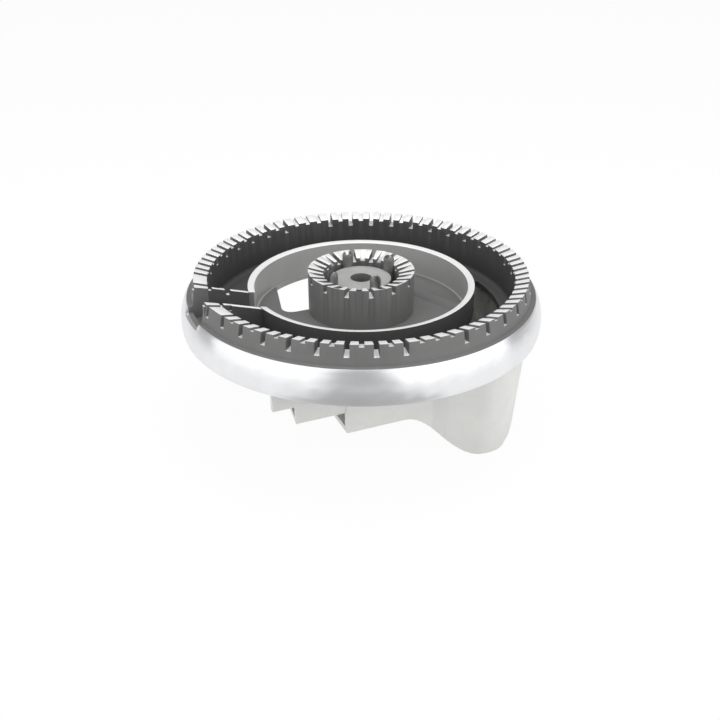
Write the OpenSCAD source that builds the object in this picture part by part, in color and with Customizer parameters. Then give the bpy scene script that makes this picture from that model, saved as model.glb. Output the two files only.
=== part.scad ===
// Gas burner body: a one-piece die-cast outer ring crown with a small centre crown, joined by a floor,
// with a gas duct and a riser underneath. Millimetres. Z is up along the ring axis and the open radial
// slot points along -X. Drops are measured down from the outer crown's upper edge; the finished body is
// lifted so that the origin is in the rim of the centre hole.

/* [Outer crown] */
// Radius of the crown's upper outer edge
crown_r = 61.9; // [61:0.1:62.6]
// Radius of the crown's outer face at its foot
crown_foot_r = 63.2; // [62.8:0.1:64]
// Height of the crown's foot below its upper edge
crown_foot_drop = 7.1; // [6:0.1:8]
// Radius of the crown's inner face
crown_inner_r = 57.0; // [56:0.1:58]
// Fall of the tooth tops towards the axis, mm per mm
crown_top_slope = 0.27; // [0:0.01:0.35]
// Width of the flame slots
flame_slot_w = 1.85; // [1.4:0.05:2.2]
// Depth of the flame slots below the upper edge
flame_slot_depth = 4.3; // [2:0.1:6]
// Flame slots in each quarter
slots_per_quarter = 9; // [5:1:9]
// Angle between two flame slots
flame_slot_pitch = 8.755; // [8.4:0.005:9.2]
// Angle from the radial slot's middle to the first flame slot
first_slot_deg = 9.5; // [9.3:0.05:10.2]
// Width of the shallow notches between the flame slots
notch_w = 1.8; // [1:0.05:2]
// Depth of the shallow notches
notch_depth = 0.9; // [0.4:0.05:1.4]

/* [Turned band] */
// Radius of the band's upper edge
band_top_r = 65.0; // [64.6:0.1:65.6]
// Drop of the band's upper edge
band_top_drop = 7.35; // [7.2:0.05:9]
// Largest radius of the band
band_r = 67.45; // [66.5:0.05:69]
// Drop at which the band reaches its largest radius
band_full_drop = 15.0; // [13:0.1:16]
// Drop at which the band's lower bevel begins
band_bevel_drop = 17.3; // [16.6:0.1:18.5]
// Radius of the band's lower edge
band_low_r = 67.0; // [66:0.1:69]
// Drop of the band's lower edge
band_low_drop = 19.5; // [19:0.1:21]
// Thickness of the band skirt at its lower edge
skirt_wall = 2.6; // [2:0.1:4]
// Thickness of the crown wall over the groove under it
crown_wall = 3.2; // [2.4:0.1:4]
// Drop of the roof of the groove behind the band
groove_roof_drop = 13.0; // [12:0.1:15]

/* [Ring channel] */
// Drop of the channel floor
floor_drop = 16.0; // [14:0.1:16.4]
// Thickness of the floor casting
floor_t = 2.6; // [2:0.1:3]
// Radius of the fillet between floor and crown wall
floor_fillet = 2.0; // [1:0.1:4]
// Outer radius of the inner ring wall
ring_outer_r = 42.4; // [41.5:0.1:43]
// Inner radius of the inner ring wall
ring_inner_r = 40.0; // [39:0.1:40.4]
// Drop of the ring wall's top at its outer edge
ring_top_drop = 5.34; // [4:0.05:7]
// Extra fall of the ring wall's top towards the axis
ring_top_fall = 0.5; // [0:0.05:0.8]
// Outer radius of the gas outlet in the channel floor
outlet_r = 52.7; // [50:0.1:54]
// Angle at which the outlet begins, seen from above
outlet_from_deg = -57; // [-60:1:-50]
// Angle at which the outlet ends, seen from above
outlet_to_deg = 4; // [0:1:6]

/* [Radial slot] */
// Distance of each slot wall's middle from the slot's middle
slot_wall_y = 7.5; // [7:0.1:8]
// Thickness of the slot walls
slot_wall_t = 1.6; // [1.2:0.1:2]
// Drop of the slot's floor under the crown
slot_floor_drop = 12.0; // [11:0.1:13]
// Drop of the lip where the slot leaves the band
slot_lip_drop = 9.5; // [9:0.1:11]
// Radius at which the lip begins
slot_lip_r = 63.0; // [62:0.1:64]
// Width of the U notch in one slot wall
wall_notch_w = 2.1; // [1.5:0.1:3]
// Depth of the U notch
wall_notch_depth = 1.7; // [1:0.1:2.5]
// Distance of the U notch from the axis
wall_notch_r = 49.5; // [46:0.1:52]
// Drop of the slot wall's top at the U notch
wall_top_drop = 3.4; // [3:0.1:4]

/* [Centre crown] */
// Outer radius of the centre crown
centre_r = 19.9; // [19:0.1:21]
// Drop of its upper outer edge
centre_top_drop = 0.6; // [0:0.1:2]
// Fall of its tooth tops towards the axis, mm per mm
centre_top_slope = 0.25; // [0:0.01:0.35]
// Inner radius of its teeth
centre_inner_r = 14.2; // [13.8:0.1:15]
// Flame slots around the centre crown
centre_slots = 14; // [10:1:14]
// Angle of its first flame slot
centre_slot_deg = 257.3; // [250:0.1:262]
// Width of its flame slots
centre_slot_w = 1.74; // [1.2:0.02:2]
// Depth of its flame slots below the outer edge
centre_slot_depth = 3.0; // [2:0.1:4]
// Width of the ramped notches in its teeth
ramp_w = 2.1; // [1.4:0.1:2.4]
// Slant of the ramped notches
ramp_deg = 24.5; // [16:0.5:26]
// Radius of the middle disc
disc_r = 11.2; // [10.8:0.1:11.5]
// Drop of the middle disc's top
disc_drop = 4.0; // [3:0.1:6]
// Drop of the floor of the groove around the disc
centre_groove_drop = 10.0; // [8:0.1:12]
// Radius of the centre hole
centre_bore_r = 4.08; // [3.5:0.02:4.6]
// Radius of the centre tube under the floor
centre_tube_r = 11.0; // [10.8:0.1:13]
// Drop of the centre tube's mouth
centre_tube_drop = 26.0; // [22:0.5:30]
// Radius of the centre tube's mouth
centre_mouth_r = 8.2; // [6:0.1:8.6]
// Drop at which the centre tube's mouth starts to widen
centre_throat_drop = 14.0; // [12:0.5:18]

/* [Posts] */
// Radius of the four lid posts
post_r = 2.05; // [1.6:0.05:2.4]
// Distance of the posts from the axis
post_ring_r = 13.0; // [12.6:0.1:13.4]
// Height of the posts' tops above the outer crown's edge
post_top = 2.0; // [0.5:0.1:3]

/* [Inner floor] */
// Drop of the inner floor
inner_floor_drop = 16.5; // [16.2:0.1:17]
// Half width of the bridge beside the open window
bridge_y = 6.6; // [4:0.1:8]
// Distance of the window's outer end from the axis
window_x = 29.2; // [27:0.1:31]
// Slant of the window's outer end
window_slant_deg = 13; // [0:1:20]
// Angle at which the window ends, seen from above
window_end_deg = 62; // [55:1:66]
// Corner radius of the window
window_corner_r = 4.0; // [2:0.5:6]
// Radius of the rounded hump in the floor
hump_r = 6.0; // [5:0.5:9]
// Rise of the hump over the floor
hump_rise = 1.5; // [0.5:0.1:2.5]
// Distance of the hump's crest from the axis
hump_x = 26.0; // [25:0.5:30]
// Direction of the hump's crest
hump_deg = -68; // [-75:1:-60]

/* [Duct] */
// Distance of the duct's front face from the slot's middle
duct_front_y = 40.0; // [38:0.1:41]
// Width of the duct
duct_w = 14.5; // [12:0.1:16]
// Thickness of the duct walls
duct_wall = 2.0; // [1.6:0.1:2.4]
// Drop of the duct's underside
duct_drop = 43.7; // [42:0.1:46]
// Where the deep part of the duct begins
duct_deep_x = -22.5; // [-26:0.1:-18]
// Drop of the shallow part's underside
duct_step_drop = 35.8; // [33:0.1:38]
// Where the shallow part of the duct begins
duct_step_x = -40.9; // [-43:0.1:-38]
// Step of the shallow part behind the duct's front face
duct_step_in = 1.0; // [0.6:0.1:1.4]
// Drop of the apron's lower edge
apron_drop = 28.4; // [26:0.1:31]
// Where the apron begins
apron_x = -49.2; // [-50:0.1:-46]

/* [Riser] */
// Drop of the riser's underside
riser_drop = 60.0; // [57:0.5:62]
// Outer radius of the riser at its underside
riser_r = 60.3; // [59:0.1:61]
// Outer radius of the riser where its flare begins
riser_mid_r = 60.9; // [60.5:0.1:61.5]
// Drop at which the riser begins to flare out to the band
riser_flare_drop = 28.0; // [24:0.5:32]
// Radius of the riser under the floor
riser_top_r = 63.4; // [62:0.1:63.6]
// Inner radius of the riser at its far end
riser_inner_r = 42.6; // [41.5:0.1:43]
// Thickness of the riser's walls
riser_wall = 2.6; // [2:0.1:3.2]
// Angle at which the riser ends, seen from above
riser_to_deg = 8; // [7:1:14]
// Where the riser leaves the duct's front face
riser_from_x = 11.4; // [9:0.1:13]
// Slant of the riser's first, short face
riser_turn_deg = -43; // [-60:1:-35]
// Length of the riser's first, short face
riser_turn_len = 5.6; // [4:0.1:7]
// Slant of the riser's front face
riser_face_deg = -26; // [-32:1:-20]
// Radius between the riser's front face and its outer side
riser_corner_r = 12; // [8:0.5:16]
// Where the underside begins to drop from the duct to the riser
drop_from_x = 0; // [-3:0.5:3]
// Where the underside has reached the riser's depth
drop_to_x = 26; // [23:0.5:30]

/* [Hidden] */
$fn = 96;
top = 0;
hair = 0.02;
over = 4;
crown_inner_z = top - crown_top_slope * (crown_r - crown_inner_r);
floor_under = -floor_drop - floor_t;
centre_inner_z = -centre_top_drop - centre_top_slope * (centre_r - centre_inner_r);
slot_gap = 2 * slot_wall_y - slot_wall_t;
slot_wall_out = slot_wall_y + slot_wall_t / 2;
tooth_pitch = 360 / centre_slots;
quarter_mid = (slots_per_quarter + 1) / 2;
duct_back_y = -duct_front_y + duct_w;
duct_end_x = riser_from_x + 9;

// Point at an angle on a circle
function on_circle(r, a) = [r * cos(a), r * sin(a)];

// Bulging side of the turned band, from its upper edge to its largest radius
function band_curve(n) = [for (i = [0:n]) let (t = i / n)
  [band_r - (band_r - band_top_r) * pow(1 - t, 2), -band_top_drop - (band_full_drop - band_top_drop) * t]];

// Fillet where the channel floor meets the crown wall
function floor_arc(n) = [for (i = [0:n]) let (a = 90 * i / n)
  [crown_inner_r - floor_fillet + floor_fillet * cos(a) , -floor_drop + floor_fillet - floor_fillet * sin(a)]];

// Section of the outer ring with its channel, the groove behind the band and the inner ring wall
ring_section = concat(
  [[ring_inner_r, floor_under], [crown_inner_r + 2.4, floor_under], [crown_inner_r + crown_wall, -groove_roof_drop],
   [band_low_r - skirt_wall - 0.8, -groove_roof_drop], [band_low_r - skirt_wall, -band_low_drop],
   [band_low_r, -band_low_drop], [band_r, -band_bevel_drop]],
  [for (i = [7:-1:0]) band_curve(7)[i]],
  [[crown_foot_r, -crown_foot_drop], [crown_r, top], [crown_inner_r, crown_inner_z]],
  floor_arc(6),
  [[ring_outer_r, -floor_drop], [ring_outer_r, -ring_top_drop], [ring_inner_r, -ring_top_drop - ring_top_fall]]);

// Section of the centre crown
centre_section = [[0, -inner_floor_drop - floor_t], [centre_r, -inner_floor_drop - floor_t],
  [centre_r, -centre_top_drop], [centre_inner_r, centre_inner_z], [centre_inner_r, -centre_groove_drop],
  [disc_r, -centre_groove_drop], [disc_r, -disc_drop], [0, -disc_drop]];

// Section of a domed post
post_section = concat([[0, -centre_groove_drop - 1], [post_r, -centre_groove_drop - 1]],
  [for (i = [0:8]) let (a = 90 * i / 8) [post_r * cos(a), post_top - post_r + post_r * sin(a)]]);

// Angles of the flame slots, counted from the radial slot
function slot_angle(q, m) = let (a = 90 * q + 45 + (m - quarter_mid) * flame_slot_pitch)
  q == 0 && m == 1 ? first_slot_deg : q == 3 && m == slots_per_quarter ? 360 - first_slot_deg : a;

// Angles of the shallow notches between the flame slots, none beside the radial slot
function notch_angles() = concat(
  [for (q = [0:3]) for (m = [1:slots_per_quarter - 1])
    if (!(q == 0 && m == 1) && !(q == 3 && m == slots_per_quarter - 1))
      90 * q + 45 + (m + 0.5 - quarter_mid) * flame_slot_pitch],
  [for (q = [1:3]) for (k = [-1:1]) 90 * q + k * flame_slot_pitch * 0.57]);

module flame_slots() {
  for (q = [0:3]) for (m = [1:slots_per_quarter])
    rotate([0, 0, 180 + slot_angle(q, m)])
      translate([crown_inner_r - over, -flame_slot_w / 2, -flame_slot_depth])
        cube([crown_foot_r - crown_inner_r + 2 * over, flame_slot_w, flame_slot_depth + over]);
}

module shallow_notches() {
  for (a = notch_angles())
    rotate([0, 0, 180 + a]) translate([crown_r, 0, top]) rotate([0, -atan(crown_top_slope), 0])
      translate([-crown_r + crown_inner_r - over, -notch_w / 2, -notch_depth])
        cube([crown_r - crown_inner_r + 2 * over, notch_w, notch_depth + over]);
}

// Flame slots and ramped notches of the centre crown
module centre_cuts() {
  for (i = [0:centre_slots - 1]) {
    rotate([0, 0, centre_slot_deg + i * tooth_pitch])
      translate([centre_inner_r - 1, -centre_slot_w / 2, -centre_top_drop - centre_slot_depth])
        cube([centre_r - centre_inner_r + 3, centre_slot_w, centre_slot_depth + over]);
    rotate([0, 0, centre_slot_deg + (i + 0.5) * tooth_pitch]) translate([centre_r, 0, -centre_top_drop])
      rotate([0, -ramp_deg, 0]) translate([-7, -ramp_w / 2, 0]) cube([8, ramp_w, 6]);
  }
}

// Four domed posts on every third or fourth tooth
module posts() {
  for (k = [0, 4, 7, 11])
    rotate([0, 0, centre_slot_deg + (k + 0.5) * tooth_pitch]) translate([post_ring_r, 0, 0])
      rotate_extrude($fn = 48) polygon(post_section);
}

// Tapering wall beside the radial slot, seen from the side
wall_side = [[-62.2, -slot_floor_drop - 1], [-62.2, -0.95], [-55.6, -2.3], [-55.1, -1.6],
  [-ring_inner_r - 0.3, -6.1], [-ring_inner_r - 0.3, -inner_floor_drop - 1], [-56, -inner_floor_drop - 1]];

// Outline of the U notch, a half circle with straight sides
notch_outline = concat([for (i = [0:8]) on_circle(wall_notch_w / 2, 180 + 180 * i / 8)],
  [[wall_notch_w / 2, 5], [-wall_notch_w / 2, 5]]);

module slot_wall(side) {
  translate([0, side * slot_wall_y + slot_wall_t / 2, 0]) rotate([90, 0, 0])
    linear_extrude(slot_wall_t) polygon(wall_side);
}

module slot_walls() {
  slot_wall(-1);
  difference() {
    slot_wall(1);
    translate([-wall_notch_r, slot_wall_y + 2, -wall_top_drop - wall_notch_depth + wall_notch_w / 2])
      rotate([90, 0, 0]) linear_extrude(4) polygon(notch_outline);
  }
}

// Open way between the slot walls, with its lip through the band
module slot_opening() {
  translate([-slot_lip_r, -slot_gap / 2, -slot_floor_drop])
    cube([slot_lip_r - crown_inner_r + 2, slot_gap, slot_floor_drop + over]);
  translate([-crown_inner_r - hair, -slot_gap / 2, -floor_drop])
    cube([crown_inner_r - ring_inner_r + 3, slot_gap, floor_drop + over]);
  translate([-band_r - 2, -slot_wall_out, -slot_lip_drop])
    cube([band_r + 2 - slot_lip_r + hair, slot_wall_out + slot_gap / 2, slot_lip_drop + over]);
}

// Rounded corner of the window, where its outer end meets the bridge
function window_corner(n) = let (open = 90 - window_slant_deg, t = window_corner_r / tan(open / 2))
  [for (i = [0:n]) let (a = 180 - window_slant_deg + (90 + window_slant_deg) * i / n)
    [-window_x + t + window_corner_r * cos(a), bridge_y + window_corner_r + window_corner_r * sin(a)]];

// Outline of the window, up to the ring wall
window_plan = concat(window_corner(6),
  [[0, bridge_y], on_circle(10, window_end_deg), on_circle(60, window_end_deg), on_circle(60, 90),
   [-window_x + 60 * sin(window_slant_deg), bridge_y + 60 * cos(window_slant_deg)]]);

module inner_floor() {
  difference() {
    translate([0, 0, floor_under]) cylinder(r = ring_inner_r + 1, h = -inner_floor_drop - floor_under);
    intersection() {
      translate([0, 0, floor_under - 1]) linear_extrude(floor_t + 3) polygon(window_plan);
      translate([0, 0, floor_under - 2]) cylinder(r = ring_inner_r - 0.4, h = floor_t + 5);
    }
  }
  hump();
}

// Rounded hump in the inner floor over the duct
module hump() {
  intersection() {
    translate([0, 0, floor_under + 0.4]) cylinder(r = ring_inner_r + 1, h = 5);
    rotate([0, 0, hump_deg + 90]) translate([hump_x, 14, hump_rise - inner_floor_drop - hump_r])
      rotate([90, 0, 0]) cylinder(r = hump_r, h = 60);
  }
}

// Section of the pocket under the centre crown
centre_pocket = [[centre_tube_r + 1.6, floor_under - 1], [centre_r - 2.6, floor_under - 1],
  [centre_r - 3, -centre_groove_drop - 2.8], [centre_tube_r + 1.8, -centre_groove_drop - 2.8]];

module centre_bore() {
  translate([0, 0, -centre_tube_drop - 1]) cylinder(r = centre_bore_r, h = centre_tube_drop + over);
  translate([0, 0, -centre_tube_drop - 1])
    cylinder(r1 = centre_mouth_r + 0.3, r2 = centre_bore_r - hair, h = centre_tube_drop + 1 - centre_throat_drop);
}

// Gas duct seen from above: the shallow part's end is a little askew
shallow_plan = [[duct_step_x, duct_step_in - duct_front_y], [duct_deep_x + 1, duct_step_in - duct_front_y],
  [duct_deep_x + 1, duct_back_y], [duct_step_x + 1.9, duct_back_y]];

// Height of the underside of duct and riser at a distance along X, an even S-curve between them
function under_z(x) = let (t = max(0, min(1, (x - drop_from_x) / (drop_to_x - drop_from_x))))
  -duct_drop - (riser_drop - duct_drop) * (1 - cos(180 * t)) / 2;

// Duct and riser seen from the front, from one end to another, drawn in by a wall thickness
function under_side(from_x, to_x, w, top_z) = concat([[from_x, top_z], [from_x, under_z(from_x) + w]],
  [for (i = [0:12]) let (x = drop_from_x + (drop_to_x - drop_from_x) * i / 12) if (x > from_x && x < to_x)
    [x, under_z(x) + w]],
  [[to_x, under_z(to_x) + w], [to_x, top_z]]);

// Solid between two distances along Y, with an outline drawn in X and Z
module upright(outline, from_y, to_y) {
  translate([0, to_y, 0]) rotate([90, 0, 0]) linear_extrude(to_y - from_y) polygon(outline);
}

module duct_outside() {
  upright(under_side(duct_deep_x, duct_end_x, 0, floor_under + 0.5), -duct_front_y, duct_back_y);
  translate([0, 0, -duct_step_drop])
    linear_extrude(duct_step_drop + floor_under + 0.5) polygon(shallow_plan);
  translate([apron_x, -duct_front_y, -apron_drop])
    cube([duct_deep_x - apron_x + 1, duct_wall, apron_drop + floor_under + 0.5]);
}

module duct_inside() {
  upright(under_side(duct_deep_x - 1, duct_end_x - duct_wall, duct_wall, floor_under),
    -duct_front_y + duct_wall, duct_back_y - duct_wall);
  translate([duct_step_x - 3, duct_wall + duct_step_in - duct_front_y, duct_wall - duct_step_drop])
    cube([duct_deep_x - duct_step_x + 4, duct_w - 2 * duct_wall - duct_step_in,
      duct_step_drop - duct_wall + floor_under]);
}

// Outline of the riser from above for an outer radius, drawn in by a wall thickness
function riser_plan(r, w) = let (
    fold = [riser_from_x + w, -duct_front_y + w],
    turn = fold + riser_turn_len * [cos(riser_turn_deg), sin(riser_turn_deg)],
    along = [cos(riser_face_deg), sin(riser_face_deg)],
    inward = [-sin(riser_face_deg), cos(riser_face_deg)],
    ro = r - w, rc = riser_corner_r - w / 2,
    q = turn + rc * inward, b = q * along,
    centre = q + (sqrt(b * b - q * q + pow(ro - rc, 2)) - b) * along,
    from_a = riser_face_deg - 90, to_a = atan2(centre[1], centre[0]), end_a = riser_to_deg - w * 1.2)
  concat([[riser_from_x + w, duct_back_y - w], fold, turn],
    [for (i = [0:6]) centre + on_circle(rc, from_a + (to_a - from_a) * i / 6)],
    [for (i = [1:8]) on_circle(ro, to_a + (end_a - to_a) * i / 8)],
    [on_circle(riser_inner_r + w, end_a)]);

module riser_slice(z, r, w) {
  translate([0, 0, z]) linear_extrude(0.05) polygon(riser_plan(r, w));
}

// Riser, or its hollow when a wall thickness is given
module riser(w) {
  intersection() {
    hull() {
      riser_slice(-riser_drop - 0.1, riser_r, w);
      riser_slice(-riser_flare_drop, riser_mid_r, w);
      riser_slice(floor_under + (w > 0 ? -0.05 : 0.35), riser_top_r - w * 0.5, w);
    }
    upright(under_side(riser_from_x - 4, 80, w, floor_under + 1), -80, 40);
  }
}

// Outlet of the riser in the channel floor
module riser_outlet() {
  rotate([0, 0, outlet_from_deg]) rotate_extrude(angle = outlet_to_deg - outlet_from_deg)
    translate([ring_outer_r + 0.8, floor_under - 1]) square([outlet_r - ring_outer_r - 0.8, floor_t + 2]);
}

node_colour = [0.78, 0.78, 0.76];

module burner_body() {
  color(node_colour) translate([0, 0, disc_drop]) difference() {
    union() {
      rotate_extrude() polygon(ring_section);
      inner_floor();
      rotate_extrude() polygon(centre_section);
      translate([0, 0, -centre_tube_drop])
        cylinder(r = centre_tube_r, h = centre_tube_drop - inner_floor_drop - 0.5);
      duct_outside();
      riser(0);
      slot_walls();
      posts();
    }
    flame_slots();
    shallow_notches();
    centre_cuts();
    slot_opening();
    rotate_extrude() polygon(centre_pocket);
    centre_bore();
    duct_inside();
    riser(riser_wall);
    riser_outlet();
  }
}

burner_body();
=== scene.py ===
import bpy
import math
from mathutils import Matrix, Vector


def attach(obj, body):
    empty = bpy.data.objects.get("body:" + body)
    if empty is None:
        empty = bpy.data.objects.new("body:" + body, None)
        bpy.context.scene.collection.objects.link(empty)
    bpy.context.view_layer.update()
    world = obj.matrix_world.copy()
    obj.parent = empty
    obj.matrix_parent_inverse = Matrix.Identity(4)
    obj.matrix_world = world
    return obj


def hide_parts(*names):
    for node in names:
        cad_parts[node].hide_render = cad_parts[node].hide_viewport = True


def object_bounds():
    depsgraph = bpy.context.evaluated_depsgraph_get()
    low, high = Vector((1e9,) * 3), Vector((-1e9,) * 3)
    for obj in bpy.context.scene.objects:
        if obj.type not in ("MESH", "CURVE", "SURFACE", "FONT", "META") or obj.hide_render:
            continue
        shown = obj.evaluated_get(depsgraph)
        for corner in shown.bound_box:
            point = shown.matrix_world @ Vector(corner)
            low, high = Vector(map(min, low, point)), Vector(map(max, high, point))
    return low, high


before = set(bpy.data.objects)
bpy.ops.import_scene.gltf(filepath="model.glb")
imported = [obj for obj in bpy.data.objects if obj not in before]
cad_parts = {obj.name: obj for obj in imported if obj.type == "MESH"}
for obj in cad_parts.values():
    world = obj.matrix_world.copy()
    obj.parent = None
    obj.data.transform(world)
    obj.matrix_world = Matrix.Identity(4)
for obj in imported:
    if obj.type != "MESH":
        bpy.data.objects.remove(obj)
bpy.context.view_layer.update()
print("frame loaded")

studio = {
    "floorGap": 0.0002,
    "floorSize": 6.0,
    "floorGlow": 0.95,
    "worldGrey": 0.42,
    "topSize": 0.7, "topPower": 4.0,
    "sideSize": (1.2, 0.8), "leftPower": 2.8, "rightPower": 3.4,
    "cardSize": (0.114, 0.24), "cardGrey": 0.46,
}


# small helpers for the node trees
def addNode(tree, kind, place=(0, 0), **settings):
    node = tree.nodes.new(kind)
    node.location = place
    for name, value in settings.items():
        setattr(node, name, value)
    return node


def feed(tree, socket, value):
    if isinstance(value, bpy.types.NodeSocket):
        tree.links.new(value, socket)
    else:
        socket.default_value = value


def mathNode(tree, operation, a, b=0.0, c=0.0, clamp=False):
    node = addNode(tree, "ShaderNodeMath", operation=operation, use_clamp=clamp)
    for socket, value in zip(node.inputs, (a, b, c)):
        feed(tree, socket, value)
    return node.outputs[0]


def rampBetween(tree, value, low, high):
    # 0 below low, 1 above high, smooth between
    node = addNode(tree, "ShaderNodeMapRange", interpolation_type="SMOOTHSTEP")
    feed(tree, node.inputs["Value"], value)
    node.inputs["From Min"].default_value = low
    node.inputs["From Max"].default_value = high
    return node.outputs["Result"]


def mixColour(tree, factor, a, b):
    node = addNode(tree, "ShaderNodeMix", data_type="RGBA")
    feed(tree, node.inputs[0], factor)
    feed(tree, node.inputs[6], a)
    feed(tree, node.inputs[7], b)
    return node.outputs[2]


def mixValue(tree, factor, a, b):
    node = addNode(tree, "ShaderNodeMix", data_type="FLOAT")
    feed(tree, node.inputs[0], factor)
    feed(tree, node.inputs[2], a)
    feed(tree, node.inputs[3], b)
    return node.outputs[0]


def noiseOf(tree, vector, scale, detail=3.0, rough=0.5):
    node = addNode(tree, "ShaderNodeTexNoise")
    feed(tree, node.inputs["Vector"], vector)
    node.inputs["Scale"].default_value = scale
    node.inputs["Detail"].default_value = detail
    node.inputs["Roughness"].default_value = rough
    return node.outputs["Fac"]


# cast tones and finishes; the channel, ring-wall and under greys are painted shade and painted light
castFinishAndPaintedLight = {
    "castGrey": (0.17, 0.17, 0.168, 1.0),
    # painted shade: darker grey for the inside of the ring channel
    "paintedChannelShade": (0.085, 0.085, 0.084, 1.0),
    # painted light: paler grey for the ring wall's inside and the disc top
    "paintedWallLight": (0.40, 0.40, 0.394, 1.0),
    # painted light: paler grey for everything below the band
    "paintedUnderLight": (0.74, 0.74, 0.72, 1.0),
    "milledWhite": (0.88, 0.88, 0.88, 1.0),
    "bandWhite": (0.84, 0.845, 0.86, 1.0),
    "castRough": 0.55, "milledRough": 0.38, "bandRough": 0.3,
    "bandStretch": 0.85,
}


def castMaterial():
    mat = bpy.data.materials.new("castAluminium")
    mat.use_nodes = True
    tree = mat.node_tree
    tree.nodes.clear()
    out = addNode(tree, "ShaderNodeOutputMaterial", (900, 0))
    skin = addNode(tree, "ShaderNodeBsdfPrincipled", (600, 0))
    tree.links.new(skin.outputs[0], out.inputs["Surface"])
    coord = addNode(tree, "ShaderNodeTexCoord", (-1600, 0)).outputs["Object"]
    parts = addNode(tree, "ShaderNodeSeparateXYZ", (-1400, 0))
    tree.links.new(coord, parts.inputs[0])
    x, y, z = parts.outputs
    radius = mathNode(tree, "SQRT", mathNode(tree, "ADD", mathNode(tree, "MULTIPLY", x, x),
                                             mathNode(tree, "MULTIPLY", y, y)))
    face = addNode(tree, "ShaderNodeSeparateXYZ", (-1400, -300))
    tree.links.new(addNode(tree, "ShaderNodeNewGeometry").outputs["Normal"], face.inputs[0])
    upward = rampBetween(tree, face.outputs[2], 0.80, 0.93)

    # turned band: outside the skirt radius and under the crown's foot
    outer = rampBetween(tree, radius, 0.06478, 0.06492)
    band = mathNode(tree, "MULTIPLY", outer, rampBetween(tree, mathNode(tree, "MULTIPLY", z, -1.0), 0.0032, 0.0034))
    # milled tops: faces that look up, near the crown's edge or on the ring wall
    high = rampBetween(tree, z, -0.0026, -0.0023)
    milled = mathNode(tree, "MULTIPLY", upward, high)
    # inside of the ring channel, darkened with painted shade, and everything below the band, lightened with painted
    # light
    channelShadeMask = mathNode(tree, "MULTIPLY", rampBetween(tree, radius, 0.0422, 0.0424),
                         mathNode(tree, "SUBTRACT", 1.0, rampBetween(tree, radius, 0.0571, 0.0573)))
    channelShadeMask = mathNode(tree, "MULTIPLY", channelShadeMask, rampBetween(tree, z, -0.0150, -0.0130))
    below = mathNode(tree, "SUBTRACT", 1.0, rampBetween(tree, z, -0.0150, -0.0140))

    blotch = noiseOf(tree, coord, 90.0, 4.0, 0.6)
    grain = noiseOf(tree, coord, 2600.0, 2.0, 0.6)
    # painted light: the ring wall's inside and the small disc's top get a paler grey than the rest of the casting
    paintedLitWall = mathNode(tree, "MULTIPLY", rampBetween(tree, radius, 0.0390, 0.0394),
                         mathNode(tree, "SUBTRACT", 1.0, rampBetween(tree, radius, 0.0403, 0.0406)))
    paintedLitDisc = mathNode(tree, "MULTIPLY", upward, mathNode(tree, "SUBTRACT", 1.0,
                                                            rampBetween(tree, radius, 0.0112, 0.0116)))
    paintedLitMask = mathNode(tree, "MAXIMUM", paintedLitWall, paintedLitDisc)
    milled = mathNode(tree, "MULTIPLY", milled, mathNode(tree, "SUBTRACT", 1.0, paintedLitDisc))
    # painted light: everything below the band gets a paler copy of the cast grey
    colour = mixColour(tree, below, castFinishAndPaintedLight["castGrey"], castFinishAndPaintedLight["paintedUnderLight"])
    # painted light: the ring wall's inside and the disc top get the paler grey
    colour = mixColour(tree, mathNode(tree, "MULTIPLY", paintedLitMask, mathNode(tree, "SUBTRACT", 1.0, below)),
                       colour, castFinishAndPaintedLight["paintedWallLight"])
    # painted shade: the inside of the ring channel gets a darker copy of the cast grey
    colour = mixColour(tree, channelShadeMask, colour, castFinishAndPaintedLight["paintedChannelShade"])
    colour = mixColour(tree, milled, colour, castFinishAndPaintedLight["milledWhite"])
    colour = mixColour(tree, band, colour, castFinishAndPaintedLight["bandWhite"])
    shade = mathNode(tree, "ADD", 0.90, mathNode(tree, "MULTIPLY", blotch, 0.2))
    tint = addNode(tree, "ShaderNodeMix", data_type="RGBA", blend_type="MULTIPLY")
    tint.inputs[0].default_value = 1.0
    feed(tree, tint.inputs[6], colour)
    grey = addNode(tree, "ShaderNodeCombineColor")
    for socket in grey.inputs[:3]:
        feed(tree, socket, shade)
    tree.links.new(grey.outputs[0], tint.inputs[7])
    tree.links.new(tint.outputs[2], skin.inputs["Base Color"])

    # fine rings left by the lathe run round the band
    rings = addNode(tree, "ShaderNodeCombineXYZ")
    feed(tree, rings.inputs[0], mathNode(tree, "MULTIPLY", z, 4200.0))
    feed(tree, rings.inputs[1], mathNode(tree, "MULTIPLY", radius, 4200.0))
    ringMarks = noiseOf(tree, rings.outputs[0], 1.0, 2.0, 0.7)
    rough = mixValue(tree, milled, castFinishAndPaintedLight["castRough"], castFinishAndPaintedLight["milledRough"])
    rough = mixValue(tree, band, rough, castFinishAndPaintedLight["bandRough"])
    feed(tree, skin.inputs["Roughness"], rough)
    metal = mixValue(tree, band, 0.35, 1.0)
    feed(tree, skin.inputs["Metallic"], metal)
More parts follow.
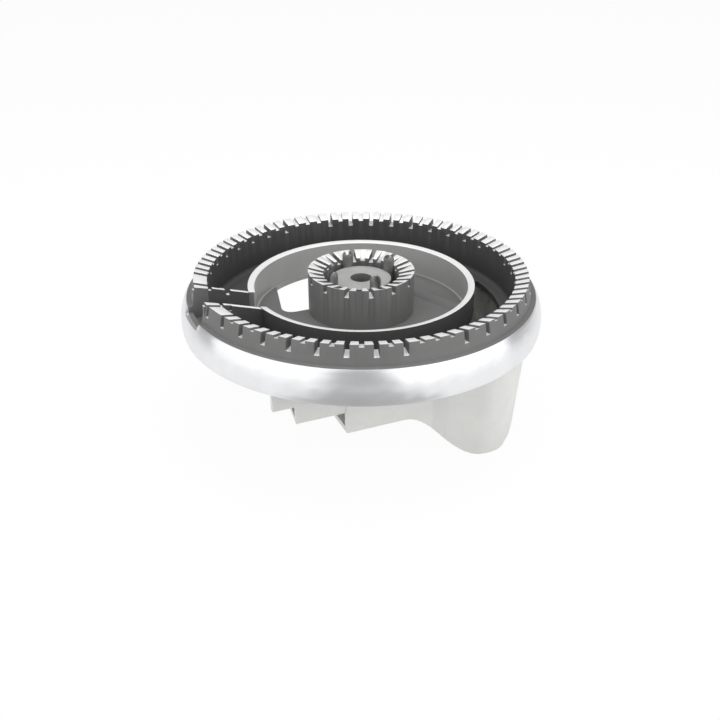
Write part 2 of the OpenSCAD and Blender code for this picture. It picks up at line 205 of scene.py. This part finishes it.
    # turning marks run round the axis, so they draw reflections out up and down the band
    feed(tree, skin.inputs["Anisotropic"], mathNode(tree, "MULTIPLY", band, castFinishAndPaintedLight["bandStretch"]))
    skin.inputs["Anisotropic Rotation"].default_value = 0.25
    turnAxis = addNode(tree, "ShaderNodeTangent", direction_type="RADIAL", axis="Z")
    tree.links.new(turnAxis.outputs[0], skin.inputs["Tangent"])
    bumpGrain = addNode(tree, "ShaderNodeBump")
    bumpGrain.inputs["Distance"].default_value = 0.00004
    feed(tree, bumpGrain.inputs["Height"], mathNode(tree, "MULTIPLY", grain,
                                                    mathNode(tree, "SUBTRACT", 1.0, band)))
    bumpRings = addNode(tree, "ShaderNodeBump")
    bumpRings.inputs["Distance"].default_value = 0.000004
    feed(tree, bumpRings.inputs["Height"], mathNode(tree, "MULTIPLY", ringMarks, band))
    tree.links.new(bumpGrain.outputs[0], bumpRings.inputs["Normal"])
    tree.links.new(bumpRings.outputs[0], skin.inputs["Normal"])
    return mat


casting = {
    "mergeGap": 0.00001,
    "flatAngle": math.radians(0.1),
    "bevel": 0.00018,
    "bevelAngle": math.radians(28),
}


def dressCasting():
    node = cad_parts["burner_body"]
    bpy.ops.object.select_all(action="DESELECT")
    node.select_set(True)
    bpy.context.view_layer.objects.active = node
    bpy.ops.object.duplicate()
    skin = bpy.context.view_layer.objects.active
    skin.name = "castBody"
    bpy.ops.object.mode_set(mode="EDIT")
    bpy.ops.mesh.select_all(action="SELECT")
    bpy.ops.mesh.remove_doubles(threshold=casting["mergeGap"])
    bpy.ops.mesh.dissolve_limited(angle_limit=casting["flatAngle"])
    bpy.ops.object.mode_set(mode="OBJECT")
    edge = skin.modifiers.new("softEdges", "BEVEL")
    edge.width = casting["bevel"]
    edge.segments = 2
    edge.limit_method = "ANGLE"
    edge.angle_limit = casting["bevelAngle"]
    edge.harden_normals = False
    bpy.ops.object.modifier_apply(modifier=edge.name)
    bpy.ops.object.shade_smooth_by_angle(angle=math.radians(32))
    skin.data.materials.clear()
    skin.data.materials.append(castMaterial())
    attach(skin, "root")
    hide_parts("burner_body")
    return skin


body = dressCasting()
print("casting dressed,", len(body.data.polygons), "faces")

cameraSpot = {
    "place": (-0.12253, -0.28498, 0.1344),
    "lookDown": 28.672,
    "heading": -23.186,
    "lens": 44.913,
    "sensor": 36.0,
}


def placeCamera():
    data = bpy.data.cameras.new("photoCamera")
    data.lens = cameraSpot["lens"]
    data.sensor_width = cameraSpot["sensor"]
    data.clip_start = 0.01
    data.dof.use_dof = False
    cam = bpy.data.objects.new("photoCamera", data)
    bpy.context.scene.collection.objects.link(cam)
    cam.location = cameraSpot["place"]
    cam.rotation_euler = (math.radians(90 - cameraSpot["lookDown"]), 0, math.radians(cameraSpot["heading"]))
    bpy.context.scene.camera = cam


def addPanel(name, place, size, power, aim=(0, 0, -0.01)):
    data = bpy.data.lights.new(name, "AREA")
    data.shape = "RECTANGLE"
    data.size, data.size_y = size
    data.energy = power
    lamp = bpy.data.objects.new(name, data)
    bpy.context.scene.collection.objects.link(lamp)
    lamp.location = place
    lamp.rotation_euler = (Vector(aim) - Vector(place)).to_track_quat("-Z", "Y").to_euler()


def turned(side, depth, height):
    # a place given to the right of, away from and above the camera's heading
    a = math.radians(cameraSpot["heading"])
    return (side * math.cos(a) - depth * math.sin(a), side * math.sin(a) + depth * math.cos(a), height)


def whiteStage(name, strength):
    mat = bpy.data.materials.new(name)
    mat.use_nodes = True
    tree = mat.node_tree
    tree.nodes.clear()
    out = addNode(tree, "ShaderNodeOutputMaterial")
    paper = addNode(tree, "ShaderNodeBsdfDiffuse")
    paper.inputs["Color"].default_value = (0.86, 0.86, 0.86, 1)
    glow = addNode(tree, "ShaderNodeEmission")
    glow.inputs["Strength"].default_value = 1.0
    rays = addNode(tree, "ShaderNodeLightPath")
    seen = mathNode(tree, "MAXIMUM", rays.outputs["Is Camera Ray"], rays.outputs["Is Glossy Ray"])
    seen = mathNode(tree, "MAXIMUM", seen, rays.outputs["Is Transmission Ray"])
    blend = addNode(tree, "ShaderNodeMixShader")
    feed(tree, blend.inputs[0], mathNode(tree, "MULTIPLY", seen, strength))
    tree.links.new(paper.outputs[0], blend.inputs[1])
    tree.links.new(glow.outputs[0], blend.inputs[2])
    tree.links.new(blend.outputs[0], out.inputs["Surface"])
    return mat


def addCard(height):
    # grey card on the floor before the band: only reflections see it
    bpy.ops.object.select_all(action="DESELECT")
    bpy.ops.mesh.primitive_plane_add(size=1.0, location=turned(0.001, -0.19, height),
                                     rotation=(0, 0, math.radians(cameraSpot["heading"])))
    card = bpy.context.view_layer.objects.active
    card.name = "greyCard"
    card.scale = studio["cardSize"] + (1,)
    mat = bpy.data.materials.new("greyCard")
    mat.use_nodes = True
    tree = mat.node_tree
    tree.nodes.clear()
    glow = addNode(tree, "ShaderNodeEmission")
    glow.inputs["Color"].default_value = (studio["cardGrey"],) * 3 + (1,)
    out = addNode(tree, "ShaderNodeOutputMaterial")
    tree.links.new(glow.outputs[0], out.inputs["Surface"])
    card.data.materials.append(mat)
    card.visible_camera = card.visible_diffuse = card.visible_shadow = False


def setStudio():
    bpy.ops.object.select_all(action="DESELECT")
    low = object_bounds()[0][2] - studio["floorGap"]
    bpy.ops.mesh.primitive_plane_add(size=studio["floorSize"], location=(0, 0, low))
    floor = bpy.context.view_layer.objects.active
    floor.name = "studioFloor"
    floor.data.materials.append(whiteStage("floorPaper", studio["floorGlow"]))
    addCard(low + studio["floorGap"] / 2)
    addPanel("topPanel", turned(0.0, 0.05, 0.75), (studio["topSize"], studio["topSize"]), studio["topPower"])
    addPanel("leftPanel", turned(-0.6, -0.35, 0.35), studio["sideSize"], studio["leftPower"])
    addPanel("rightPanel", turned(0.6, -0.35, 0.35), studio["sideSize"], studio["rightPower"])
    world = bpy.data.worlds.new("studioWorld")
    bpy.context.scene.world = world
    world.use_nodes = True
    tree = world.node_tree
    tree.nodes.clear()
    out = addNode(tree, "ShaderNodeOutputWorld")
    grey = addNode(tree, "ShaderNodeBackground")
    grey.inputs["Color"].default_value = (studio["worldGrey"],) * 3 + (1,)
    white = addNode(tree, "ShaderNodeBackground")
    rays = addNode(tree, "ShaderNodeLightPath")
    seen = mathNode(tree, "MAXIMUM", rays.outputs["Is Camera Ray"], rays.outputs["Is Transmission Ray"])
    blend = addNode(tree, "ShaderNodeMixShader")
    tree.links.new(seen, blend.inputs[0])
    tree.links.new(grey.outputs[0], blend.inputs[1])
    tree.links.new(white.outputs[0], blend.inputs[2])
    tree.links.new(blend.outputs[0], out.inputs["Surface"])
    bpy.context.scene.view_settings.view_transform = "Standard"


placeCamera()
setStudio()
print("studio set")
